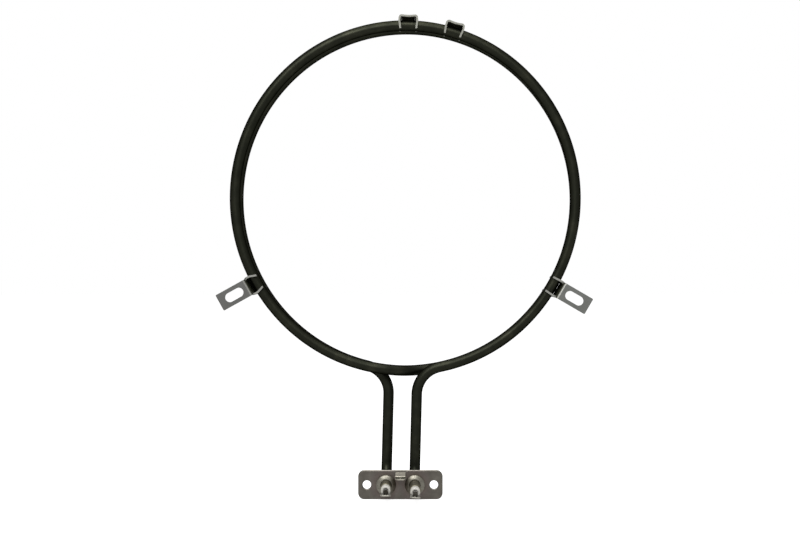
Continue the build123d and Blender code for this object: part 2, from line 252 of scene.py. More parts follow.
@dataclass(frozen=True)
class OxidisedSheath(Metal):
    """Drawn nickel-chrome steel tube, annealed: a thin olive-black oxide over fine draw lines.

    Real draw lines are finer; these are as coarse as they need to be to show. The stubs in
    front of the flange stay cool and keep a paler, browner oxide.
    """

    darkest: str = "#161713"
    body: str = "#1e1f19"
    worn: str = "#2a2a22"
    warm: str = "#5f5b4d"
    dust: str = "#4a463a"
    dusty: float = 0.25
    rim: float = 0.12
    cold_rim: float = 0.6
    rough: Span = (0.38, 0.48)
    bump: float = 0.2
    draw_line: float = 0.3
    drawn_out: float = 0.02
    line_share: float = 0.4
    mottle: float = 9.0
    tones: Span = (0.4, 1.05)
    speck: float = 0.5
    speck_tones: Span = (0.72, 0.82)

    def paint(self, tree: Tree) -> Inputs:
        """Draw lines follow the rod, so the pattern reads the rod's own unbent coordinates.

        Args:
            tree: the material's node tree.

        Returns:
            Inputs of the surface shader.
        """
        unbent = add_node(tree, "ShaderNodeAttribute", attribute_name="unbent").outputs["Vector"]
        drawn = add_node(tree, "ShaderNodeMapping", {
            "Vector": unbent, "Scale": (1, 1, self.drawn_out),
        }).outputs[0]
        lines, mottle, specks = (
            add_node(tree, "ShaderNodeTexNoise", {
                "Vector": place, "Scale": 1 / size, "Detail": detail, "Roughness": rough,
            }).outputs[0]
            for place, size, detail, rough in (
                (drawn, self.draw_line, 3.0, 0.6),
                (unbent, self.mottle, 5.0, 0.65),
                (unbent, self.speck, 2.0, 0.5),
            )
        )
        tone = add_node(tree, "ShaderNodeMath", {
            0: lines, 1: self.line_share, 2: mottle,
        }, operation="MULTIPLY_ADD").outputs[0]
        wear = add_node(tree, "ShaderNodeMapRange", {
            "Value": tone, "From Min": self.tones[0], "From Max": self.tones[1],
        }).outputs[0]
        oxide = add_node(tree, "ShaderNodeValToRGB", {"Fac": wear})
        ramp = oxide.color_ramp
        ramp.elements[0].color = linear(self.darkest)
        ramp.elements[1].color = linear(self.worn)
        middle = ramp.elements.new(0.5)
        middle.color = linear(self.body)
        dust = add_node(tree, "ShaderNodeMapRange", {
            "Value": specks, "From Min": self.speck_tones[0], "From Max": self.speck_tones[1],
            "To Max": self.dusty,
        }).outputs[0]
        cold = add_node(tree, "ShaderNodeAttribute", attribute_name="cold_end").outputs["Fac"]
        colour = oxide.outputs["Color"]
        for share, coat in ((dust, self.dust), (cold, self.warm)):
            colour = add_node(tree, "ShaderNodeMix", {
                "Factor": share, 6: colour, 7: linear(coat),
            }, data_type="RGBA").outputs[2]
        rim = add_node(tree, "ShaderNodeMapRange", {
            "Value": cold, "To Min": self.rim, "To Max": self.cold_rim,
        }).outputs[0]
        edge = add_node(tree, "ShaderNodeCombineColor", {0: rim, 1: rim, 2: rim}).outputs[0]
        return self.surface(tree, colour, lines, wear) | {"Specular Tint": edge}


@dataclass(frozen=True)
class RolledSteel(Metal):
    """Cold-rolled stainless strip: grey satin with fine lines along the rolling direction.

    Real rolling lines are finer; these are as coarse as they need to be to show.
    """

    dark: str = "#4a4944"
    light: str = "#66645f"
    bare_edge_and_highlight: str = "#7a7a75"
    rolling: Point3 = (0.03, 1.0, 1.0)
    grain: float = 0.18
    grain_share: float = 0.6
    cloud: float = 7.0
    tones: Span = (0.5, 1.1)
    rough: Span = (0.34, 0.48)
    rim: float = 0.6
    relief: float = 0.012

    def tint(self, tree: Tree, colour: Socket) -> Socket:
        """Shows bare, bright cut metal on the marked faces; on the flange's top edge the same mix
        is a painted highlight.

        Args:
            tree: the material's node tree.
            colour: the strip's own colour.

        Returns:
            The colour with the cut edges in it.
        """
        share = add_node(tree, "ShaderNodeAttribute", attribute_name="bare_edge_and_highlight").outputs["Fac"]
        return add_node(tree, "ShaderNodeMix", {
            "Factor": share, 6: colour, 7: linear(self.bare_edge_and_highlight),
        }, data_type="RGBA").outputs[2]

    def paint(self, tree: Tree) -> Inputs:
        """Rolling lines over soft clouds of tone.

        Args:
            tree: the material's node tree.

        Returns:
            Inputs of the surface shader.
        """
        lines, clouds = (
            add_node(tree, "ShaderNodeTexNoise", {
                "Vector": self.millimetres(tree, stretch), "Scale": 1 / size, "Detail": detail,
                "Roughness": rough,
            }).outputs[0]
            for stretch, size, detail, rough in (
                (self.rolling, self.grain, 4.0, 0.65),
                ((1.0, 1.0, 1.0), self.cloud, 3.0, 0.5),
            )
        )
        tone = add_node(tree, "ShaderNodeMath", {
            0: lines, 1: self.grain_share, 2: clouds,
        }, operation="MULTIPLY_ADD").outputs[0]
        share = add_node(tree, "ShaderNodeMapRange", {
            "Value": tone, "From Min": self.tones[0], "From Max": self.tones[1],
        }).outputs[0]
        strip = add_node(tree, "ShaderNodeMix", {
            "Factor": share, 6: linear(self.dark), 7: linear(self.light),
        }, data_type="RGBA").outputs[2]
        edge = (self.rim, self.rim, self.rim, 1.0)
        colour = self.tint(tree, strip)
        return self.surface(tree, colour, lines, share) | {"Specular Tint": edge}


@dataclass(frozen=True)
class ShadePaintedSteel(RolledSteel):
    """Rolled strip whose marked faces carry painted shade: a dark, matt colour that stands in for
    shadow and dark reflection.
    """

    # Painted shade: the dark colour laid on the marked faces, where shadow and dark reflection
    # fall.
    painted_shade: str = "#25261e"

    def paint(self, tree: Tree) -> Inputs:
        """Lays painted shade over the strip; it has no metal's shine, even at a grazing look.

        Args:
            tree: the material's node tree.

        Returns:
            Inputs of the surface shader.
        """
        strip = super().paint(tree)
        shade_share = add_node(tree, "ShaderNodeAttribute", attribute_name="painted_shade").outputs["Fac"]
        colour = add_node(tree, "ShaderNodeMix", {
            "Factor": shade_share, 6: strip["Base Color"], 7: linear(self.painted_shade),
        }, data_type="RGBA").outputs[2]
        bare = add_node(tree, "ShaderNodeMath", {0: 1.0, 1: shade_share}, operation="SUBTRACT").outputs[0]
        gloss = add_node(tree, "ShaderNodeMath", {
            0: strip["Roughness"], 1: shade_share,
        }, operation="MAXIMUM").outputs[0]
        # The specular level acts on the painted shade alone: bare metal's shine doesn't depend on
        # it.
        return strip | {
            "Base Color": colour,
            "Metallic": bare,
            "Specular IOR Level": 0.0,
            "Roughness": gloss,
        }


@dataclass(frozen=True)
class TintedFlange(RolledSteel):
    """Stainless flange, furnace brazed: brown and purple heat tint round the rods."""

    brown: str = "#5b5145"
    purple: str = "#574c4c"
    purple_at: float = 0.45
    strength: float = 0.75
    inner: float = 6.0
    reach: float = 15.0
    fade: float = 2.5
    ragged: float = 4.0
    raggedness: float = 5.0

    def tint(self, tree: Tree, colour: Socket) -> Socket:
        """Mixes the heat tint in by the distance from the nearer rod.

        Args:
            tree: the material's node tree.
            colour: the flange's own colour.

        Returns:
            The colour with the tint, and the painted highlight on the top edge, in it.
        """
        place = self.millimetres(tree)
        left, right = (
            add_node(tree, "ShaderNodeVectorMath", {
                0: place, 1: (side.terminal, 0.0, 0.0),
            }, operation="DISTANCE").outputs["Value"]
            for side in Side
        )
        nearest = add_node(tree, "ShaderNodeMath", {
            0: left, 1: right,
        }, operation="MINIMUM").outputs[0]
        ragged = add_node(tree, "ShaderNodeTexNoise", {
            "Vector": place, "Scale": 1 / self.ragged, "Detail": 3.0,
        }).outputs[0]
        distance = add_node(tree, "ShaderNodeMath", {
            0: ragged, 1: self.raggedness, 2: nearest,
        }, operation="MULTIPLY_ADD").outputs[0]
        along = add_node(tree, "ShaderNodeMapRange", {
            "Value": distance, "From Min": self.inner, "From Max": self.reach + self.fade,
        }).outputs[0]
        bands = add_node(tree, "ShaderNodeValToRGB", {"Fac": along})
        ramp = bands.color_ramp
        ramp.elements[0].color = linear(self.brown)
        ramp.elements[1].color = linear(self.light)
        ring = ramp.elements.new(self.purple_at)
        ring.color = linear(self.purple)
        share = add_node(tree, "ShaderNodeMapRange", {
            "Value": distance, "From Min": self.inner, "From Max": self.reach,
            "To Min": self.strength, "To Max": 0.0,
        }).outputs[0]
        tinted = add_node(tree, "ShaderNodeMix", {
            "Factor": share, 6: colour, 7: bands.outputs["Color"],
        }, data_type="RGBA").outputs[2]
        return super().tint(tree, tinted)


@dataclass(frozen=True)
class TurnedSteel(Metal):
    """Turned bright steel: fine tool rings round the axis and a soft sheen.

    Where set, the sides that look at the other rod carry a painted brown shade, where the
    rods shade each other. Real tool rings are finer; these are as coarse as they need to be
    to show.
    """

    dark: str = "#77746c"
    light: str = "#8f8c84"
    # Colour of the painted shade, a dark brown, on the sides between the rods.
    scale: str = "#2a231a"
    heat: float = 0.0
    rod_side_shade_reach: Span = (4.0, 7.5)
    pitch: float = 0.16
    ring_share: float = 0.25
    cloud: float = 1.4
    tones: Span = (0.4, 0.9)
    rough: Span = (0.28, 0.40)
    bump: float = 0.35

    def scaled(self, tree: Tree, place: Socket, colour: Socket) -> Socket:
        """Paints shade over the sides nearest the plane between the two rods, where they shade each
        other.

        Args:
            tree: the material's node tree.
            place: object coordinates in millimetres.
            colour: the bright steel's colour.

        Returns:
            The colour with the painted shade in it.
        """
        across = add_node(tree, "ShaderNodeSeparateXYZ", {0: place}).outputs["X"]
        from_middle = add_node(tree, "ShaderNodeMath", {0: across}, operation="ABSOLUTE").outputs[0]
        share = add_node(tree, "ShaderNodeMapRange", {
            "Value": from_middle, "From Min": self.rod_side_shade_reach[0], "From Max": self.rod_side_shade_reach[1],
            "To Min": self.heat, "To Max": 0.0,
        }).outputs[0]
        return add_node(tree, "ShaderNodeMix", {
            "Factor": share, 6: colour, 7: linear(self.scale),
        }, data_type="RGBA").outputs[2]

    def paint(self, tree: Tree) -> Inputs:
        """Rings are bands across the axis, which runs along Y.

        Args:
            tree: the material's node tree.

        Returns:
            Inputs of the surface shader.
        """
        place = self.millimetres(tree)
        rings = add_node(tree, "ShaderNodeTexWave", {
            "Vector": place, "Scale": WAVE_PERIOD / self.pitch, "Distortion": 0.6, "Detail": 2.0,
        }, bands_direction="Y").outputs["Fac"]
        cloud = add_node(tree, "ShaderNodeTexNoise", {
            "Vector": place, "Scale": 1 / self.cloud, "Detail": 4.0,
        }).outputs[0]
        tone = add_node(tree, "ShaderNodeMath", {
            0: rings, 1: self.ring_share, 2: cloud,
        }, operation="MULTIPLY_ADD").outputs[0]
        share = add_node(tree, "ShaderNodeMapRange", {
            "Value": tone, "From Min": self.tones[0], "From Max": self.tones[1],
        }).outputs[0]
        colour = add_node(tree, "ShaderNodeMix", {
            "Factor": share, 6: linear(self.dark), 7: linear(self.light),
        }, data_type="RGBA").outputs[2]
        if self.heat:
            colour = self.scaled(tree, place, colour)
        return self.surface(tree, colour, rings, share)


@dataclass(frozen=True)
class FiredCeramic(Finish):
    """Pressed steatite, fired unglazed: warm white, matt, with fine pores and handling marks.

    Real pores are finer; these are as coarse as they need to be to show.
    """

    body: str = "#989690"
    shade: str = "#86837b"
    pore: float = 0.16
    stain: float = 1.6
    stain_tones: Span = (0.42, 0.75)
    relief: float = 0.02

    def paint(self, tree: Tree) -> Inputs:
        """Soft stains under fine pores.

        Args:
            tree: the material's node tree.

        Returns:
            Inputs of the surface shader.
        """
        place = self.millimetres(tree)
        pores = add_node(tree, "ShaderNodeTexVoronoi", {
            "Vector": place, "Scale": 1 / self.pore,
        }).outputs["Distance"]
        stains = add_node(tree, "ShaderNodeTexNoise", {
            "Vector": place, "Scale": 1 / self.stain, "Detail": 4.0, "Roughness": 0.6,
        }).outputs[0]
        share = add_node(tree, "ShaderNodeMapRange", {
            "Value": stains, "From Min": self.stain_tones[0], "From Max": self.stain_tones[1],
        }).outputs[0]
        colour = add_node(tree, "ShaderNodeMix", {
            "Factor": share, 6: linear(self.body), 7: linear(self.shade),
        }, data_type="RGBA").outputs[2]
        bump = add_node(tree, "ShaderNodeBump", {
            "Height": pores, "Strength": 0.3, "Distance": self.relief * MM,
        }).outputs[0]
        return {"Base Color": colour, "Roughness": 0.55, "IOR": 1.6, "Normal": bump}


@dataclass(frozen=True)
class CuredSeal(Finish):
    """Cast silicone seal: dull warm grey with a skin that has settled unevenly."""

    body: str = "#8b867a"
    shade: str = "#6f6a60"
    swirl: float = 0.9
    relief: float = 0.05

    def paint(self, tree: Tree) -> Inputs:
        """Slow swirls of tone over a soft skin.

        Args:
            tree: the material's node tree.

        Returns:
            Inputs of the surface shader.
        """
        place = self.millimetres(tree)
        swirls = add_node(tree, "ShaderNodeTexNoise", {
            "Vector": place, "Scale": 1 / self.swirl, "Detail": 3.0, "Distortion": 0.8,
        }).outputs[0]
        colour = add_node(tree, "ShaderNodeMix", {
            "Factor": swirls, 6: linear(self.body), 7: linear(self.shade),
        }, data_type="RGBA").outputs[2]
        bump = add_node(tree, "ShaderNodeBump", {
            "Height": swirls, "Strength": 0.4, "Distance": self.relief * MM,
        }).outputs[0]
        return {"Base Color": colour, "Roughness": 0.6, "IOR": 1.41, "Normal": bump}


@dataclass(frozen=True)
class FlowedBraze(Metal):
    """Copper-nickel braze, furnace flowed: dull brown-gold with frozen ripples."""

    bright: str = "#8a7457"
    dull: str = "#4e463b"
    ripple: float = 0.8
    rough: Span = (0.3, 0.55)
    bump: float = 0.5
    relief: float = 0.08

    def paint(self, tree: Tree) -> Inputs:
        """Ripples frozen as the metal set, duller in the hollows.

        Args:
            tree: the material's node tree.

        Returns:
            Inputs of the surface shader.
        """
        place = self.millimetres(tree)
        ripples = add_node(tree, "ShaderNodeTexNoise", {
            "Vector": place, "Scale": 1 / self.ripple, "Detail": 4.0, "Distortion": 1.2,
        }).outputs[0]
        colour = add_node(tree, "ShaderNodeMix", {
            "Factor": ripples, 6: linear(self.dull), 7: linear(self.bright),
        }, data_type="RGBA").outputs[2]
        return self.surface(tree, colour, ripples, ripples)


SHEATH = OxidisedSheath("annealed_nickel_chrome_tube", "oxidised_sheath")
# The flange's edge colour is a painted highlight on its upward-facing rounded edge.
FLANGE = TintedFlange(
    "brazed_stainless_flange", "flange_steel", dark="#423f3a", light="#5a5751", bare_edge_and_highlight="#686660"
)
LEFT_BRACKET = ShadePaintedSteel(
    "stainless_strip_left", "bracket_steel", dark="#4d4d4b", light="#5d5d5b"
)
RIGHT_BRACKET = ShadePaintedSteel(
    "stainless_strip_right", "bracket_steel", dark="#555653", light="#686966"
)
CLIP = ShadePaintedSteel(
    "stainless_strip_clip", "bracket_steel", dark="#63645c", light="#7b7c74", bare_edge_and_highlight="#63635d"
)
BLADE = RolledSteel(
    "nickel_plated_blade",
    "blade_steel",
    dark="#55534d",
    light="#6f6d66",
    bare_edge_and_highlight="#85837b",
    rolling=(1.0, 0.03, 1.0),
    rough=(0.15, 0.25),
    rim=0.9,
)
EARTH = ShadePaintedSteel(
    "nickel_plated_earth_tab",
    "blade_steel",
    dark="#827f76",
    light="#9d988d",
    bare_edge_and_highlight="#8f8b82",
    rolling=(1.0, 0.03, 1.0),
    rough=(0.48, 0.62),
    rim=0.35,
)
PIN = TurnedSteel("nickel_plated_pin", "pin_steel", dark="#2d2a26", light="#3f3d37")
# The collar's sides that look at the other rod carry painted shade.
COLLAR = TurnedSteel(
    "turned_steel_collar",
    "collar_steel",
    dark="#55534b",
    light="#706d65",
    heat=0.8,
    rough=(0.36, 0.5),
)
BEAD = FiredCeramic("fired_steatite", "white_ceramic")
SEAL = CuredSeal("cast_silicone", "silicone")
BRAZE = FlowedBraze("flowed_braze", "braze")


# --------------------------------------------------------------------------------------
# Mesh tools

# Points nearer to each other than this, in metres, are one point.
MERGE = 1e-7
CAD_MERGE = 2e-6
# An edge shorter than this, in metres, is none.
DEGENERATE = 1e-8
# Steps between faces: below the first they are one face, past the others the edge is sharp.
FLAT = math.radians(1)
SHARP = math.radians(38)
BROKEN = math.radians(40)
# Half the angle of a corner that is as good as straight.
STRAIGHT = math.radians(89.5)


def share_between(value: float, none: float, full: float) -> float:
    """How far a value has come from one end to the other, from zero to one.

    Args:
        value: the value.
        none: where the share is zero.
        full: where it is one.

    Returns:
        The share, which stays zero and one past the ends.
    """
    return max(0.0, min(1.0, (value - none) / (full - none)))


def rounded(
    corners: Sequence[Point2], radii: float | Sequence[float], steps: int = 4
) -> list[Point2]:
    """Rounds the corners of a closed outline.

    Args:
        corners: the outline's corners in order.
        radii: one radius for all corners, or one for each.
        steps: segments in each rounded corner.

    Returns:
        The outline with an arc at each corner.
    """
    count = len(corners)
    each = [radii] * count if isinstance(radii, (int, float)) else list(radii)
    result: list[Point2] = []
    for index, corner in enumerate(corners):
        here = Vector(corner)
        back = (Vector(corners[index - 1]) - here).normalized()
        ahead = (Vector(corners[(index + 1) % count]) - here).normalized()
        radius = each[index]
        half = back.angle(ahead) / 2
        if radius <= 0 or half > STRAIGHT:
            result.append((here.x, here.y))
            continue
        centre = here + (back + ahead).normalized() * (radius / math.sin(half))
        first = here + back * (radius / math.tan(half)) - centre
        last = here + ahead * (radius / math.tan(half)) - centre
        sweep = first.angle_signed(last)
        for step in range(steps + 1):
            point = centre + Matrix.Rotation(-sweep * step / steps, 2) @ first
            result.append((point.x, point.y))
    return result


def new_object(name: str, data: bpy.types.ID) -> bpy.types.Object:
    """Links a mesh, curve, camera or lamp into the scene as an object at the origin.

    Args:
        name: the object's name.
        data: what the object shows.

    Returns:
        The new object.
    """
    made = bpy.data.objects.new(name, data)
    bpy.context.scene.collection.objects.link(made)
    return made


def applied_mesh(holder: bpy.types.Object) -> bpy.types.Mesh:
    """An object's shape as a plain mesh, with its modifiers applied."""
    evaluated = holder.evaluated_get(bpy.context.evaluated_depsgraph_get())
    return bpy.data.meshes.new_from_object(evaluated)


def object_from(name: str, work: bmesh.types.BMesh) -> bpy.types.Object:
    """Turns a bmesh into an object with outward faces, smooth but for its sharp edges.

    Args:
        name: the object's name.
        work: the mesh, in metres; it is freed.

    Returns:
        The new object.
    """
    bmesh.ops.remove_doubles(work, verts=work.verts[:], dist=MERGE)
    bmesh.ops.recalc_face_normals(work, faces=work.faces[:])
    mesh = bpy.data.meshes.new(name)
    work.to_mesh(mesh)
    work.free()
    mesh.shade_smooth()
    mesh.set_sharp_from_angle(angle=SHARP)
    return new_object(name, mesh)


def settle(piece: bpy.types.Object) -> bpy.types.Object:
    """Shades a piece's flat faces flat and applies its modifiers.

    Args:
        piece: an object with live modifiers, or none.

    Returns:
        The same object, with the result as its own mesh.
    """
    flow = piece.modifiers.new("flat_faces", "WEIGHTED_NORMAL")
    flow.keep_sharp = True
    mesh = applied_mesh(piece)
    piece.modifiers.clear()
    piece.data = mesh
    return piece


def softened_copy(
    node: bpy.types.Object,
    name: str,
    edge: float,
    press: Callable[[bmesh.types.BMesh], None] | None = None,
) -> bpy.types.Object:
    """Copies a CAD node and breaks its sharp edges.

    Args:
        node: the CAD node.
        name: the new piece's name.
        edge: width of the broken edge in millimetres.
        press: changes the copy's shape before its edges are broken.

    Returns:
        The new piece.
    """
    work = bmesh.new()
    work.from_mesh(node.data)
    bmesh.ops.remove_doubles(work, verts=work.verts[:], dist=CAD_MERGE)
    bmesh.ops.dissolve_limit(
        work, angle_limit=FLAT, verts=work.verts[:], edges=work.edges[:]
    )
    if press:
        press(work)
    mesh = bpy.data.meshes.new(name)
    work.to_mesh(mesh)
    work.free()
    mesh.shade_smooth()
    piece = new_object(name, mesh)
    bevel = piece.modifiers.new("broken_edge", "BEVEL")
    bevel.width = edge * MM
    bevel.segments = 3
    bevel.limit_method = "ANGLE"
    bevel.angle_limit = BROKEN
    bevel.use_clamp_overlap = True
    bevel.harden_normals = False
    return settle(piece)


def turned_piece(
    name: str,
    outline: Sequence[Point2],
    axis: Point2,
    sides: int = 64,
    wobble: Callable[[float, float, float], float] | None = None,
) -> bpy.types.Object:
    """Spins a closed outline round an axis parallel to Y.

    Args:
        name: the object's name.
        outline: (radius, y) pairs in millimetres; a radius of zero makes a pole.
        axis: the axis's x and z in millimetres.
        sides: points in each ring.
        wobble: extra radius for (radius, y, angle), in millimetres.

    Returns:
        The new object.
    """
    work = bmesh.new()
    rings = []
    for radius, depth in outline:
        ring = []
        for side in range(sides):
            angle = 2 * math.pi * side / sides
            reach = radius + (wobble(radius, depth, angle) if wobble else 0.0)
            ring.append(work.verts.new(Vector((
                axis[0] + reach * math.cos(angle), depth, axis[1] + reach * math.sin(angle)
            )) * MM))
        rings.append(ring)
    for ring, following in zip(rings, rings[1:] + rings[:1]):
        for side in range(sides):
            ahead = (side + 1) % sides
            work.faces.new((ring[side], ring[ahead], following[ahead], following[side]))
    bmesh.ops.dissolve_degenerate(work, edges=work.edges[:], dist=DEGENERATE)
    return object_from(name, work)


def stamped_plate(
    name: str,
    outline: Sequence[Point2],
    holes: Iterable[Sequence[Point2]],
    thickness: float,
    edge: float,
    place: Matrix,
) -> bpy.types.Object:
    """Makes a flat plate with holes and softly rounded edges.

    Args:
        name: the object's name.
        outline: the outer outline in millimetres.
        holes: the holes' outlines in millimetres.
        thickness: the plate's thickness in millimetres.
        edge: radius of the rounded edges in millimetres.
        place: where the plate's middle plane goes, in metres.

    Returns:
        The new object.
    """
    curve = bpy.data.curves.new(name, "CURVE")
    curve.dimensions = "2D"
    curve.fill_mode = "BOTH"
    curve.extrude = (thickness / 2 - edge) * MM
    curve.bevel_depth = edge * MM
    curve.bevel_resolution = 3
    curve.offset = -edge * MM
    for loop in (list(outline), *[list(reversed(hole)) for hole in holes]):
        spline = curve.splines.new("POLY")
        spline.points.add(len(loop) - 1)
        for point, (x, y) in zip(spline.points, loop):
            point.co = (x * MM, y * MM, 0.0, 1.0)
        spline.use_cyclic_u = True
    holder = new_object(name, curve)
    mesh = applied_mesh(holder)
    bpy.data.objects.remove(holder)
    bpy.data.curves.remove(curve)
    work = bmesh.new()
    work.from_mesh(mesh)
    bpy.data.meshes.remove(mesh)
    bmesh.ops.transform(work, matrix=place, verts=work.verts[:])
    return settle(object_from(name, work))


def circle(centre: Point2, radius: float, sides: int = 48) -> list[Point2]:
    """Points of a circle.

    Args:
        centre: the circle's middle.
        radius: its radius.
        sides: how many points it has.

    Returns:
        The points, anticlockwise.
    """
    angles = [2 * math.pi * side / sides for side in range(sides)]
    return [
        (centre[0] + radius * math.cos(angle), centre[1] + radius * math.sin(angle))
        for angle in angles
    ]


def mark_faces(
    piece: bpy.types.Object, name: str, share: Callable[[bpy.types.MeshPolygon], float]
) -> None:
    """Writes a share from zero to one on every face, for the finish to read.

    Args:
        piece: a finished mesh.
        name: the attribute's name.
        share: gives a face's share.
    """
    layer = piece.data.attributes.new(name, "FLOAT", "FACE")
    layer.data.foreach_set("value", [share(face) for face in piece.data.polygons])


def dress(piece: bpy.types.Object, finish: Finish, *nodes: str) -> bpy.types.Object:
    """Gives a piece its finish and its body, and hides the CAD nodes that it stands for.

    Args:
        piece: the finished object.
        finish: its finish.
        *nodes: CAD nodes that the piece replaces.

    Returns:
        The same object.
    """
    piece.data.materials.clear()
    piece.data.materials.append(finish.material())
    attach(piece, BODY)
    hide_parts(*nodes)
    LOG.info("%s: %d faces, %s", piece.name, len(piece.data.polygons), finish.name)
    return piece


# --------------------------------------------------------------------------------------
# The rod


@dataclass
class Walk:
    """A smooth line drawn by walking: it keeps its place and its heading."""

    place: Vector
    heading: Vector
    longest: float = 2.6
    sharpest: float = math.radians(6)
    points: list[Vector] = field(default_factory=list)

    def __post_init__(self) -> None:
        """Starts the line at its first place."""
        self.points.append(self.place.copy())

    def straight(self, end: Vector) -> None:
        """Walks straight to a point.

        Args:
            end: where the run ends.
        """
        run = end - self.place
        count = max(1, math.ceil(run.length / self.longest))
        self.points += [self.place + run * (step / count) for step in range(1, count + 1)]
        self.place, self.heading = end.copy(), run.normalized()

    def curve(self, end: Vector) -> None:
        """Walks to a point on the one arc that leaves along the heading.

        Args:
            end: where the arc ends.
        """
        chord = end - self.place
        inward = (chord - self.heading * chord.dot(self.heading)).normalized()
        radius = chord.length_squared / (2 * chord.dot(inward))
        centre = self.place + inward * radius
        last = end - centre
        sweep = math.atan2(last.dot(self.heading), -last.dot(inward)) % (2 * math.pi)
        count = max(2, math.ceil(sweep / min(self.sharpest, self.longest / radius)))
        for step in range(1, count + 1):
            angle = sweep * step / count
            self.points.append(
                centre - inward * radius * math.cos(angle) + self.heading * radius * math.sin(angle)
            )
        self.heading = self.heading * math.cos(sweep) + inward * math.sin(sweep)
        self.place = end.copy()


@dataclass
class Turn:
    """One turn of the rod: four arcs, a little taller than wide. Angles are the normal's."""

    middle: Vector
    radius: float
    oval: float

    def arc_at(self, degrees: float) -> tuple[Vector, float]:
        """The arc at an angle; the side arcs are the flatter ones.

        Args:
            degrees: the angle of the arc's normal.

        Returns:
            The arc's centre and its radius.
        """
        spread = 2 * self.oval / (math.sqrt(2) - 1)
        x, z = ((-1, 0), (0, 1), (1, 0), (0, -1))[round(degrees / 90) % 4]
        centre = self.middle + Vector((x, 0, z)) * (self.oval + spread / 2)
        return centre, self.radius + (abs(x) - abs(z)) * spread / 2

    def point(self, degrees: float) -> Vector:
        """Point of the turn at an angle.

        Args:
            degrees: the angle of the turn's normal.

        Returns:
            The point in millimetres.
        """
        angle = math.radians(degrees)
        centre, radius = self.arc_at(degrees)
        return centre + Vector((math.cos(angle), 0, math.sin(angle))) * radius

    def clockwise(self, degrees: float) -> Vector:
        """Heading at an angle, clockwise from the front."""
        angle = math.radians(degrees)
        return Vector((math.sin(angle), 0, -math.cos(angle)))

    def corners(self) -> list[Vector]:
        """Where the radius changes, clockwise from the lower left."""
        return [self.point(degrees) for degrees in (225, 135, 45, -45)]


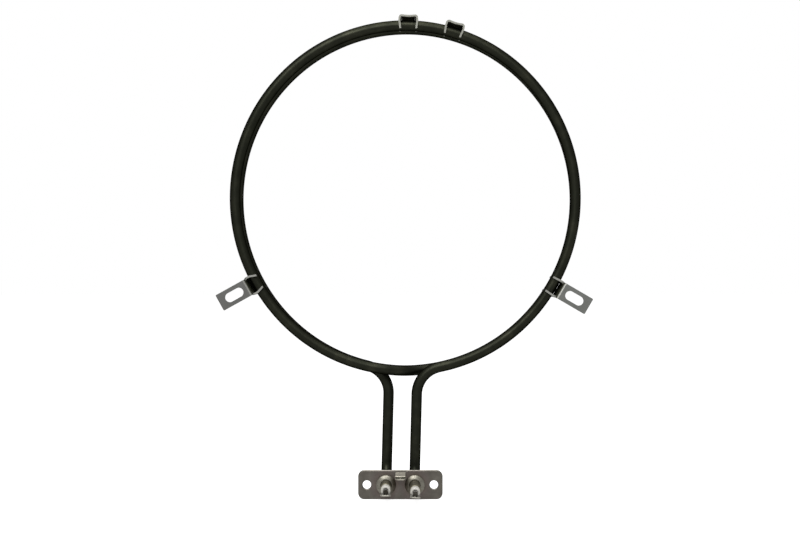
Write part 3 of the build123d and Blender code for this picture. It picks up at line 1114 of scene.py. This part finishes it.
@dataclass
class HeatingRod:
    """The bent sheath, from the left terminal round both turns to the right one."""

    ring_radius: float = 109.1
    ring_oval: float = 0.7
    rear_shift: Point2 = (0.9, -0.6)
    turn_pitch: float = 9.5
    front_depth: float = 14.5
    crossover_half_angle: float = 10.5
    leg_lean: float = 1.45
    leg_bend: float = 18.0
    terminal_bend: float = 11.0
    stubs: Span = (16.0, 22.5)
    end_round: float = 0.3
    bore_bevel: float = 0.1
    cold_depth: Span = (2.0, -4.0)
    stub_top: float = 20.0
    sides: int = 48
    front: Turn = field(init=False)
    rear: Turn = field(init=False)

    def __post_init__(self) -> None:
        """Works out the two turns."""
        middle = Vector((RING_CENTRE[0], self.front_depth, RING_CENTRE[1]))
        behind = Vector((self.rear_shift[0], self.turn_pitch, self.rear_shift[1]))
        self.front = Turn(middle, self.ring_radius, self.ring_oval)
        self.rear = Turn(middle + behind, self.ring_radius, self.ring_oval)

    def leg(self, side: Side) -> tuple[Vector, Vector, Vector, Vector]:
        """Places along one leg.

        Args:
            side: which leg.

        Returns:
            The terminal bend's start and end, the leg's top, and where it meets its turn.
        """
        turn = self.rear if side is Side.LEFT else self.front
        centre, radius = turn.arc_at(270)
        axis = Vector((side.terminal, centre.y, 0))
        lean = math.radians(self.leg_lean)
        upwards = Vector((math.sin(lean), 0, math.cos(lean)))
        outwards = Vector((upwards.z, 0, -upwards.x)) * side.value
        gap = axis + outwards * self.leg_bend - centre
        along = gap.dot(upwards)
        reach = radius + self.leg_bend
        rise = -along - math.sqrt(along**2 - gap.length_squared + reach**2)
        bend = axis + outwards * self.leg_bend + upwards * rise
        return (
            axis - Vector((0, self.terminal_bend, 0)),
            axis + upwards * self.terminal_bend,
            axis + upwards * rise,
            centre + (bend - centre) * (radius / reach),
        )

    def crossover_middle(
        self, start: Vector, first: Vector, end: Vector, last: Vector
    ) -> Vector:
        """Where the two arcs meet that lead from one turn to the other.

        The tangents at both ends are equally long, which makes the join smooth.

        Args:
            start: where the first arc starts.
            first: the heading there.
            end: where the second arc ends.
            last: the heading there.

        Returns:
            The place where the arcs meet.
        """
        ways, step = first + last, end - start
        square, half = ways.length_squared - 4, -step.dot(ways)
        length = (-half - math.sqrt(half**2 - square * step.length_squared)) / square
        return (start + first * length + end - last * length) / 2

    def route(self) -> list[Vector]:
        """Walks from the left end to the right one, both turns clockwise from the front.

        Returns:
            The sheath's centreline in millimetres, between its two rounded ends.
        """
        bend_start, bend_end, leg_top, turn_start = self.leg(Side.LEFT)
        tip = Vector((bend_start.x, self.end_round - self.stubs[0], 0))
        walk = Walk(tip, Vector((0, 1, 0)))
        walk.straight(bend_start)
        walk.curve(bend_end)
        walk.straight(leg_top)
        walk.curve(turn_start)
        for corner in self.rear.corners():
            walk.curve(corner)
        leaves, joins = 270 + self.crossover_half_angle, 270 - self.crossover_half_angle
        start, first = self.rear.point(leaves), self.rear.clockwise(leaves)
        end, last = self.front.point(joins), self.front.clockwise(joins)
        walk.curve(start)
        walk.heading = first
        walk.curve(self.crossover_middle(start, first, end, last))
        walk.curve(end)
        bend_start, bend_end, leg_top, turn_end = self.leg(Side.RIGHT)
        walk.heading = last
        for corner in self.front.corners():
            walk.curve(corner)
        walk.curve(turn_end)
        walk.curve(leg_top)
        walk.straight(bend_end)
        walk.curve(bend_start)
        walk.straight(Vector((bend_start.x, self.end_round - self.stubs[1], 0)))
        return walk.points

    def sweep_tree(self) -> Tree:
        """Node tree that sweeps a round section along a line of points.

        Returns:
            A tree with inputs for the radius, the sides and the material. It leaves the
            rod's unbent coordinates, in millimetres, on every point.
        """
        tree = bpy.data.node_groups.new("sheath_sweep", "GeometryNodeTree")
        for name, kind, way in (
            ("Line", "NodeSocketGeometry", "INPUT"),
            ("Radius", "NodeSocketFloat", "INPUT"),
            ("Sides", "NodeSocketInt", "INPUT"),
            ("Finish", "NodeSocketMaterial", "INPUT"),
            ("Sheath", "NodeSocketGeometry", "OUTPUT"),
        ):
            tree.interface.new_socket(name, in_out=way, socket_type=kind)
        given = add_node(tree, "NodeGroupInput")
        line = add_node(tree, "GeometryNodeMeshToCurve", {"Mesh": given.outputs["Line"]})
        length = add_node(tree, "GeometryNodeSplineParameter").outputs["Length"]
        measured = add_node(tree, "GeometryNodeCaptureAttribute", {0: line.outputs[0]})
        measured.capture_items.new("FLOAT", "Along")
        tree.links.new(length, measured.inputs["Along"])
        section = add_node(tree, "GeometryNodeCurvePrimitiveCircle", {
            "Resolution": given.outputs["Sides"], "Radius": given.outputs["Radius"],
        })
        marked = add_node(tree, "GeometryNodeCaptureAttribute", {0: section.outputs[0]})
        marked.capture_items.new("VECTOR", "Around")
        place = add_node(tree, "GeometryNodeInputPosition").outputs[0]
        tree.links.new(place, marked.inputs["Around"])
        skin = add_node(tree, "GeometryNodeCurveToMesh", {
            "Curve": measured.outputs[0], "Profile Curve": marked.outputs[0],
        })
        around = add_node(tree, "ShaderNodeSeparateXYZ", {0: marked.outputs["Around"]})
        unbent = add_node(tree, "ShaderNodeCombineXYZ", {
            0: around.outputs[0], 1: around.outputs[1], 2: measured.outputs["Along"],
        })
        scaled = add_node(tree, "ShaderNodeVectorMath", {
            0: unbent.outputs[0], "Scale": 1 / MM,
        }, operation="SCALE")
        stored = add_node(tree, "GeometryNodeStoreNamedAttribute", {
            "Geometry": skin.outputs[0], "Name": "unbent", "Value": scaled.outputs[0],
        }, data_type="FLOAT_VECTOR", domain="POINT")
        whole = add_node(tree, "GeometryNodeRealizeInstances", {"Geometry": stored.outputs[0]})
        dressed = add_node(tree, "GeometryNodeSetMaterial", {
            "Geometry": whole.outputs[0], "Material": given.outputs["Finish"],
        })
        add_node(tree, "NodeGroupOutput", {"Sheath": dressed.outputs[0]})
        return tree

    def swept_skin(self) -> bpy.types.Mesh:
        """Sweeps the sheath's round section along its route.

        Returns:
            The sheath's outer skin, open at both ends.
        """
        points = [point * MM for point in self.route()]
        line = bpy.data.meshes.new("rod_line")
        line.from_pydata(points, [(step, step + 1) for step in range(len(points) - 1)], [])
        holder = new_object("rod_line", line)
        tree = self.sweep_tree()
        modifier = holder.modifiers.new("sweep", "NODES")
        modifier.node_group = tree
        sockets = {
            item.name: item.identifier
            for item in tree.interface.items_tree
            if item.item_type == "SOCKET" and item.in_out == "INPUT"
        }
        modifier[sockets["Radius"]] = ROD_DIAMETER / 2 * MM
        modifier[sockets["Sides"]] = self.sides
        modifier[sockets["Finish"]] = SHEATH.material()
        mesh = applied_mesh(holder)
        bpy.data.objects.remove(holder)
        return mesh

    def close_end(self, work: bmesh.types.BMesh, side: Side) -> None:
        """Turns one open end in over its lip and down the counterbore.

        Args:
            work: the skin.
            side: which end.
        """
        tip = -self.stubs[0 if side is Side.LEFT else 1]
        lip, bevel = self.end_round, self.bore_bevel
        outer, wall = ROD_DIAMETER / 2, COUNTERBORE / 2
        outline = [
            (outer - lip + lip * math.cos(angle), tip + lip - lip * math.sin(angle))
            for angle in map(math.radians, (30, 60, 90))
        ]
        outline += [(wall + bevel, tip), (wall, tip + bevel), (wall, tip + COUNTERBORE_DEPTH)]
        loop = [
            edge for edge in work.edges
            if edge.is_boundary and edge.verts[0].co.x * side.value > 0
        ]
        centre = Vector((side.terminal, 0, 0)) * MM
        for radius, depth in outline:
            grown = bmesh.ops.extrude_edge_only(work, edges=loop)["geom"]
            loop = [
                item for item in grown
                if isinstance(item, bmesh.types.BMEdge) and item.is_boundary
            ]
            for vertex in {vertex for edge in loop for vertex in edge.verts}:
                way = Vector((vertex.co.x - centre.x, 0, vertex.co.z)).normalized()
                vertex.co = centre + way * radius * MM + Vector((0, depth * MM, 0))
        bmesh.ops.edgeloop_fill(work, edges=loop)

    def build(self) -> bpy.types.Object:
        """Builds and dresses the sheath, with its cold stubs marked for the finish.

        Returns:
            The sheath.
        """
        work = bmesh.new()
        work.from_mesh(self.swept_skin())
        for side in Side:
            self.close_end(work, side)
        cold = work.verts.layers.float.new("cold_end")
        for vertex in work.verts:
            if vertex.co.z < self.stub_top * MM:
                vertex[cold] = share_between(vertex.co.y / MM, *self.cold_depth)
        return dress(object_from("sheath", work), SHEATH, "heating_rod")


# --------------------------------------------------------------------------------------
# The flange and the terminals


@dataclass
class FlangePlate:
    """Stamped flange with two screw holes."""

    width: float = 53.0
    height: float = 18.4
    thickness: float = FLANGE_THICKNESS
    corner: float = 4.0
    corner_steps: int = 10
    screw_spacing: float = 42.0
    screw_hole: float = 5.3
    rod_hole: float = 7.0
    edge: float = 0.7
    highlight_full_at: float = 1 / 6

    def bare_edge_and_highlight(self, face: bpy.types.MeshPolygon) -> float:
        """Painted highlight: how far the rounded edge has turned up from the front; the more it
        faces up, the lighter.
        """
        return share_between((1 - abs(face.normal.y)) * face.normal.z, 0.0, self.highlight_full_at)

    def build(self) -> bpy.types.Object:
        """Builds and dresses the flange.

        Returns:
            The flange.
        """
        x, z = self.width / 2, self.height / 2
        outline = rounded([(x, z), (-x, z), (-x, -z), (x, -z)], self.corner, self.corner_steps)
        screws = [
            circle((side.value * self.screw_spacing / 2, 0), self.screw_hole / 2) for side in Side
        ]
        rods = [circle((side.terminal, 0), self.rod_hole / 2) for side in Side]
        upright = Matrix.Rotation(math.radians(90), 4, "X")
        place = Matrix.Translation((0, self.thickness / 2 * MM, 0)) @ upright
        plate = stamped_plate("flange", outline, screws + rods, self.thickness, self.edge, place)
        mark_faces(plate, "bare_edge_and_highlight", self.bare_edge_and_highlight)
        return dress(plate, FLANGE, "flange_plate")


@dataclass
class Terminal:
    """Everything on one end of the rod: collar, braze, seal, bead, pin and blade."""

    side: Side
    stub: float
    fit: float = 0.05
    collar_diameter: float = 12.4
    collar_height: float = 2.8
    collar_nose: float = 8.4
    collar_corner: float = 0.15
    collar_bevel: float = 0.2
    collar_foot: float = 0.08
    dome_inset: float = 0.3
    dome_tilts: Span = (15.0, 32.0)
    dome_steps: int = 8
    braze_diameter: float = 11.0
    braze_height: float = 1.8
    braze_creep: float = 0.35
    braze_unevenness: float = 0.5
    braze_lobes: float = 2.2
    seal_edge: float = 0.1
    bead_diameter: float = 5.9
    bead_length: float = 6.5
    bead_spigot: float = 3.0
    spigot_play: float = 0.1
    bead_edges: tuple[float, ...] = (0.2, 0.8, 0.25, 0.0, 0.2, 0.0)
    pin_diameter: float = 3.0
    pin_edge: float = 0.15
    blade_edge: float = 0.12
    blade_bare: Span = (0.4, 0.8)

    @property
    def axis(self) -> Point2:
        """The terminal's axis in X and Z."""
        return self.side.terminal, 0.0

    def collar(self) -> None:
        """Turned collar: a dome that steepens from the flat nose to the rim."""
        bore, rim = ROD_DIAMETER / 2 + self.fit, self.collar_diameter / 2
        radius, height = self.collar_nose / 2 - self.dome_inset, self.collar_height
        first, last = self.dome_tilts
        stride = (rim - self.collar_corner - radius) / self.dome_steps
        dome = [(radius, -height)]
        for step in range(self.dome_steps):
            tilt = math.radians(first + (last - first) * (step + 0.5) / self.dome_steps)
            radius, height = radius + stride, height - math.tan(tilt) * stride
            dome.append((radius, -height))
        outline = [
            (bore + self.collar_bevel, -self.collar_height),
            *dome,
            (rim, self.collar_corner - height),
            (rim, -self.collar_foot),
            (rim - self.collar_foot, 0.0),
            (bore, 0.0),
            (bore, self.collar_bevel - self.collar_height),
        ]
        piece = turned_piece(f"collar_{self.side.label}_turned", outline, self.axis, sides=72)
        dress(piece, COLLAR, f"collar_{self.side.label}")

    def braze(self) -> None:
        """Concave braze fillet with an edge that crept unevenly."""
        inner, outer = ROD_DIAMETER / 2, self.braze_diameter / 2
        outline = [(inner, FLANGE_THICKNESS)]
        for angle in map(math.radians, range(0, 91, 15)):
            radius = inner + (outer - inner) * (1 - math.cos(angle))
            rise = self.braze_height * (1 - math.sin(angle))
            outline.append((radius, FLANGE_THICKNESS + rise))

        def creep(radius: float, _depth: float, angle: float) -> float:
            """Pulls the edge in here and there.

            Args:
                radius: the fillet's radius at a point.
                _depth: how deep the point lies; the creep doesn't depend on it.
                angle: where the point lies round the rod.

            Returns:
                What the radius gains, in millimetres.
            """
            share = max(0.0, (radius - inner) / (outer - inner))
            way = Vector((math.cos(angle), math.sin(angle), self.side.value))
            ripple = noise.noise(way * self.braze_lobes)
            return share * (ripple * self.braze_unevenness - self.braze_creep)

        piece = turned_piece(
            f"braze_{self.side.label}_fillet", outline, self.axis, sides=72, wobble=creep
        )
        dress(piece, BRAZE, f"braze_ring_{self.side.label}")

    def seal(self) -> None:
        """Seal at the bottom of the counterbore."""
        outer, pin = COUNTERBORE / 2 - self.fit, self.pin_diameter / 2 + self.fit
        front, back = self.bead_spigot - self.stub, COUNTERBORE_DEPTH - self.stub
        corners = [(pin, front), (outer, front), (outer, back), (pin, back)]
        outline = rounded(corners, self.seal_edge, steps=2)
        piece = turned_piece(f"seal_{self.side.label}_cast", outline, self.axis, sides=48)
        dress(piece, SEAL, f"end_seal_{self.side.label}")

    def bead(self) -> None:
        """Ceramic bead with rounded rims."""
        bore = self.pin_diameter / 2 + self.fit
        outer, spigot = self.bead_diameter / 2, COUNTERBORE / 2 - self.spigot_play
        front, lip = -self.stub - self.bead_length, -self.stub
        back = lip + self.bead_spigot
        corners = [
            (bore, front), (outer, front), (outer, lip), (spigot, lip), (spigot, back), (bore, back)
        ]
        outline = rounded(corners, self.bead_edges, steps=6)
        piece = turned_piece(f"bead_{self.side.label}_fired", outline, self.axis)
        dress(piece, BEAD, f"ceramic_bead_{self.side.label}")

    def pin(self, node: bpy.types.Object) -> None:
        """Pin with broken edges, welded to the blade.

        Args:
            node: the CAD pin.
        """
        piece = softened_copy(node, f"pin_{self.side.label}_welded", self.pin_edge)
        dress(piece, PIN, f"cold_pin_{self.side.label}")

    def blade(self, node: bpy.types.Object) -> None:
        """Push-on blade with broken edges, its cut end bare.

        Args:
            node: the CAD blade.
        """
        piece = softened_copy(node, f"blade_{self.side.label}_stamped", self.blade_edge)
        mark_faces(
            piece, "bare_edge_and_highlight", lambda face: share_between(-face.normal.y, *self.blade_bare)
        )
        dress(piece, BLADE, f"terminal_blade_{self.side.label}")

    def build(self, nodes: dict[str, bpy.types.Object]) -> None:
        """Builds and dresses every piece of the terminal.

        Args:
            nodes: the CAD nodes by name.
        """
        self.collar()
        self.braze()
        self.seal()
        self.bead()
        self.pin(nodes[f"cold_pin_{self.side.label}"])
        self.blade(nodes[f"terminal_blade_{self.side.label}"])


@dataclass
class EarthTab:
    """Bent earth tab on the flange, with painted shade and dark reflection along its top."""

    edge: float = 0.12
    bend: float = -2.0
    # Share of painted shade and dark reflection on the tab's top.
    tint: float = 0.92
    upwards: float = 0.9

    def painted_shade(self, face: bpy.types.MeshPolygon) -> float:
        """The painted shade on a face: all of it on the top, in front of the bend, and none
        elsewhere.
        """
        on_top = face.normal.z > self.upwards and face.center.y < self.bend * MM
        return self.tint if on_top else 0.0

    def build(self, nodes: dict[str, bpy.types.Object]) -> None:
        """Builds and dresses the tab.

        Args:
            nodes: the CAD nodes by name.
        """
        piece = softened_copy(nodes["earth_tab"], "earth_tab_stamped", self.edge)
        mark_faces(piece, "painted_shade", self.painted_shade)
        dress(piece, EARTH, "earth_tab")


@dataclass(frozen=True)
class Station:
    """Where a holder stands on the rings."""

    centre: Vector
    outwards: Vector
    across: Vector

    def reach(self, place: Vector) -> float:
        """How far a place in metres lies from the rings' axis, in millimetres."""
        return (place - self.centre).dot(self.outwards) / MM


@dataclass
class SheetHolders:
    """The two slotted brackets and the two tie clips.

    Reaches are measured outwards from the rings' axis, and depths along Y. The wall lies
    outside the rods, so its inner face is nearer than where the painted shade ends, and its
    outer face farther.
    """

    rods_end: float = 112.0
    shade_end: float = 114.9
    wall_end: float = 115.6
    lean_reach: Span = (112.8, 114.2)
    lean_depth: Span = (11.5, 18.5)
    lean_cuts: tuple[float, ...] = (13.0, 15.0, 17.0, 20.0)
    edge: float = 0.14
    bare: Span = (0.4, 0.8)
    # The painted shade grows over this span of how squarely a face looks at the rods.
    shade_share: Span = (0.45, 0.75)
    leans: dict[str, float] = field(default_factory=lambda: {
        "bracket_left": 0.8,
        "bracket_right": 0.25,
    })
    finishes: dict[str, Finish] = field(default_factory=lambda: {
        "bracket_left": LEFT_BRACKET,
        "bracket_right": RIGHT_BRACKET,
        "tie_clip_top": CLIP,
        "tie_clip_upper_right": CLIP,
    })

    def station(self, node: bpy.types.Object) -> Station:
        """Where a holder stands.

        Args:
            node: the CAD holder.

        Returns:
            The rings' centre in metres, the way outwards and the way across.
        """
        centre = Vector((RING_CENTRE[0], 0, RING_CENTRE[1])) * MM
        vertices = node.data.vertices
        middle = sum((vertex.co for vertex in vertices), Vector()) / len(vertices)
        outwards = Vector((middle.x - centre.x, 0, middle.z - centre.z)).normalized()
        return Station(centre, outwards, Vector((-outwards.z, 0, outwards.x)))

    def leaning(self, station: Station, lean: float) -> Callable[[bmesh.types.BMesh], None]:
        """Leans a bracket's wall towards the rods, behind the tab's bend.

        Args:
            station: where the holder stands.
            lean: how far the wall's rear goes in, in millimetres.

        Returns:
            The change, for a mesh in metres.
        """

        def press(work: bmesh.types.BMesh) -> None:
            """Cuts the wall across its depth and moves it inwards.

            Args:
                work: the bracket's mesh.
            """
            for depth in self.lean_cuts:
                bmesh.ops.bisect_plane(
                    work,
                    geom=[*work.verts, *work.edges, *work.faces],
                    plane_co=Vector((0, depth, 0)) * MM,
                    plane_no=Vector((0, 1, 0)),
                )
            for vertex in work.verts:
                near = share_between(station.reach(vertex.co), *self.lean_reach)
                behind = share_between(vertex.co.y / MM, *self.lean_depth)
                eased = behind**2 * (3 - 2 * behind)
                vertex.co -= station.outwards * lean * near * eased * MM

        return press

    def mark(self, piece: bpy.types.Object, station: Station) -> None:
        """Marks the cut edges, and paints shade on the faces that look at the rods.

        Args:
            piece: a holder's finished mesh.
            station: where the holder stands.
        """

        def bare_edge_and_highlight(face: bpy.types.MeshPolygon) -> float:
            """The channel's cut edges face forwards or backwards."""
            inside = station.reach(face.center) < self.wall_end
            return share_between(abs(face.normal.y), *self.bare) if inside else 0.0

        def painted_shade(face: bpy.types.MeshPolygon) -> float:
            """Painted shade: the inner faces of the wall and of both cheeks look at the rods.

            Args:
                face: a face of the holder.

            Returns:
                The share of soot on it.
            """
            reach = station.reach(face.center)
            if reach >= self.shade_end:
                return 0.0
            way = (face.center - station.centre).dot(station.across)
            cheek = -face.normal.dot(station.across) * math.copysign(1, way)
            wall = -face.normal.dot(station.outwards) if reach > self.rods_end else 0.0
            return share_between(max(cheek, wall), *self.shade_share)

        mark_faces(piece, "bare_edge_and_highlight", bare_edge_and_highlight)
        # Painted shade on the faces that look at the rods.
        mark_faces(piece, "painted_shade", painted_shade)

    def build(self, nodes: dict[str, bpy.types.Object]) -> None:
        """Builds and dresses the brackets and clips.

        Args:
            nodes: the CAD nodes by name.
        """
        for name, finish in self.finishes.items():
            station = self.station(nodes[name])
            press = self.leaning(station, self.leans[name]) if name in self.leans else None
            piece = softened_copy(nodes[name], f"{name}_pressed", self.edge, press)
            self.mark(piece, station)
            dress(piece, finish, name)


# --------------------------------------------------------------------------------------
# The studio


@dataclass(frozen=True)
class Lamp:
    """A square soft lamp: its name, place, side and power in watts. Lengths are in metres."""

    name: str
    place: Point3
    size: float
    power: float

    def hang(self, aim: Vector) -> None:
        """Adds the lamp to the scene.

        Args:
            aim: the place that it looks at.
        """
        data = bpy.data.lights.new(self.name, "AREA")
        data.shape = "SQUARE"
        data.size = self.size
        data.energy = self.power
        lamp = new_object(self.name, data)
        lamp.location = self.place
        way = aim - Vector(self.place)
        lamp.rotation_euler = way.to_track_quat("-Z", "Y").to_euler()


@dataclass
class Studio:
    """Camera, floor, surroundings and lamps. Lengths are in metres."""

    camera_place: Point3 = (-0.00025, -0.8455, 0.1367)
    lens: float = 60.75
    sensor: float = 36.0
    farthest: float = 50.0
    floor_size: float = 12.0
    paper: float = 0.85
    paper_glow: float = 1.45
    paper_share: float = 0.6
    ambient: float = 0.5
    middle: Point3 = (0.0, 0.015, 0.14)
    lamps: tuple[Lamp, ...] = (
        Lamp("key", (-0.2, -0.95, 0.95), 0.7, 20.0),
        Lamp("top", (0.0, -0.1, 1.2), 0.7, 11.0),
    )

    def camera(self) -> None:
        """Places the camera level, square to the rings."""
        data = bpy.data.cameras.new("camera")
        data.lens = self.lens
        data.sensor_width = self.sensor
        data.sensor_fit = "HORIZONTAL"
        data.clip_end = self.farthest
        camera = new_object("camera", data)
        camera.location = self.camera_place
        camera.rotation_euler = (math.radians(90), 0, 0)
        bpy.context.scene.camera = camera

    def seen_white(self, tree: Tree) -> Socket:
        """One where the surroundings are looked at, by camera, gloss or glass; else zero.

        Args:
            tree: the node tree that gets the nodes.

        Returns:
            The factor socket.
        """
        path = add_node(tree, "ShaderNodeLightPath")
        seen, *others = (path.outputs[kind.value] for kind in Visible)
        for ray in others:
            seen = add_node(tree, "ShaderNodeMath", {
                0: seen, 1: ray,
            }, operation="MAXIMUM").outputs[0]
        return seen

    def world(self) -> None:
        """White where it is looked at, a plain grey level where it lights."""
        world = bpy.data.worlds.new("studio")
        world.use_nodes = True
        tree = world.node_tree
        tree.nodes.clear()
        strength = add_node(tree, "ShaderNodeMapRange", {
            "Value": self.seen_white(tree), "To Min": self.ambient, "To Max": 1.0,
        }).outputs[0]
        glow = add_node(tree, "ShaderNodeBackground", {"Color": (1, 1, 1, 1), "Strength": strength})
        add_node(tree, "ShaderNodeOutputWorld", {"Surface": glow.outputs[0]})
        bpy.context.scene.world = world

    def floor(self) -> None:
        """Plain white paper under the flange; it keeps a soft shadow."""
        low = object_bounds()[0][2]
        half = self.floor_size / 2
        mesh = bpy.data.meshes.new("floor")
        mesh.from_pydata(
            [(-half, -half, low), (half, -half, low), (half, half, low), (-half, half, low)],
            [],
            [(0, 1, 2, 3)],
        )
        floor = new_object("floor", mesh)
        paper = bpy.data.materials.new("white_paper")
        paper.use_nodes = True
        tree = paper.node_tree
        tree.nodes.clear()
        white = (self.paper, self.paper, self.paper, 1)
        matt = add_node(tree, "ShaderNodeBsdfDiffuse", {"Color": white})
        glow = add_node(tree, "ShaderNodeEmission", {"Strength": self.paper_glow})
        share = add_node(tree, "ShaderNodeMath", {
            0: self.seen_white(tree), 1: self.paper_share,
        }, operation="MULTIPLY").outputs[0]
        both = add_node(tree, "ShaderNodeMixShader", {
            0: share, 1: matt.outputs[0], 2: glow.outputs[0],
        })
        add_node(tree, "ShaderNodeOutputMaterial", {"Surface": both.outputs[0]})
        mesh.materials.append(paper)
        floor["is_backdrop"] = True

    def build(self) -> None:
        """Builds the studio."""
        self.camera()
        self.world()
        self.floor()
        for lamp in self.lamps:
            lamp.hang(Vector(self.middle))
        bpy.context.scene.view_settings.view_transform = "Standard"


def main() -> None:
    """Builds the whole scene in order."""
    logging.basicConfig(level=logging.INFO, format="%(name)s: %(message)s")
    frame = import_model()
    nodes = frame["nodes"]
    Studio().build()
    rod = HeatingRod()
    rod.build()
    FlangePlate().build()
    for side, stub in zip(Side, rod.stubs):
        Terminal(side, stub).build(nodes)
    EarthTab().build(nodes)
    SheetHolders().build(nodes)


if __name__ == "__main__":
    main()
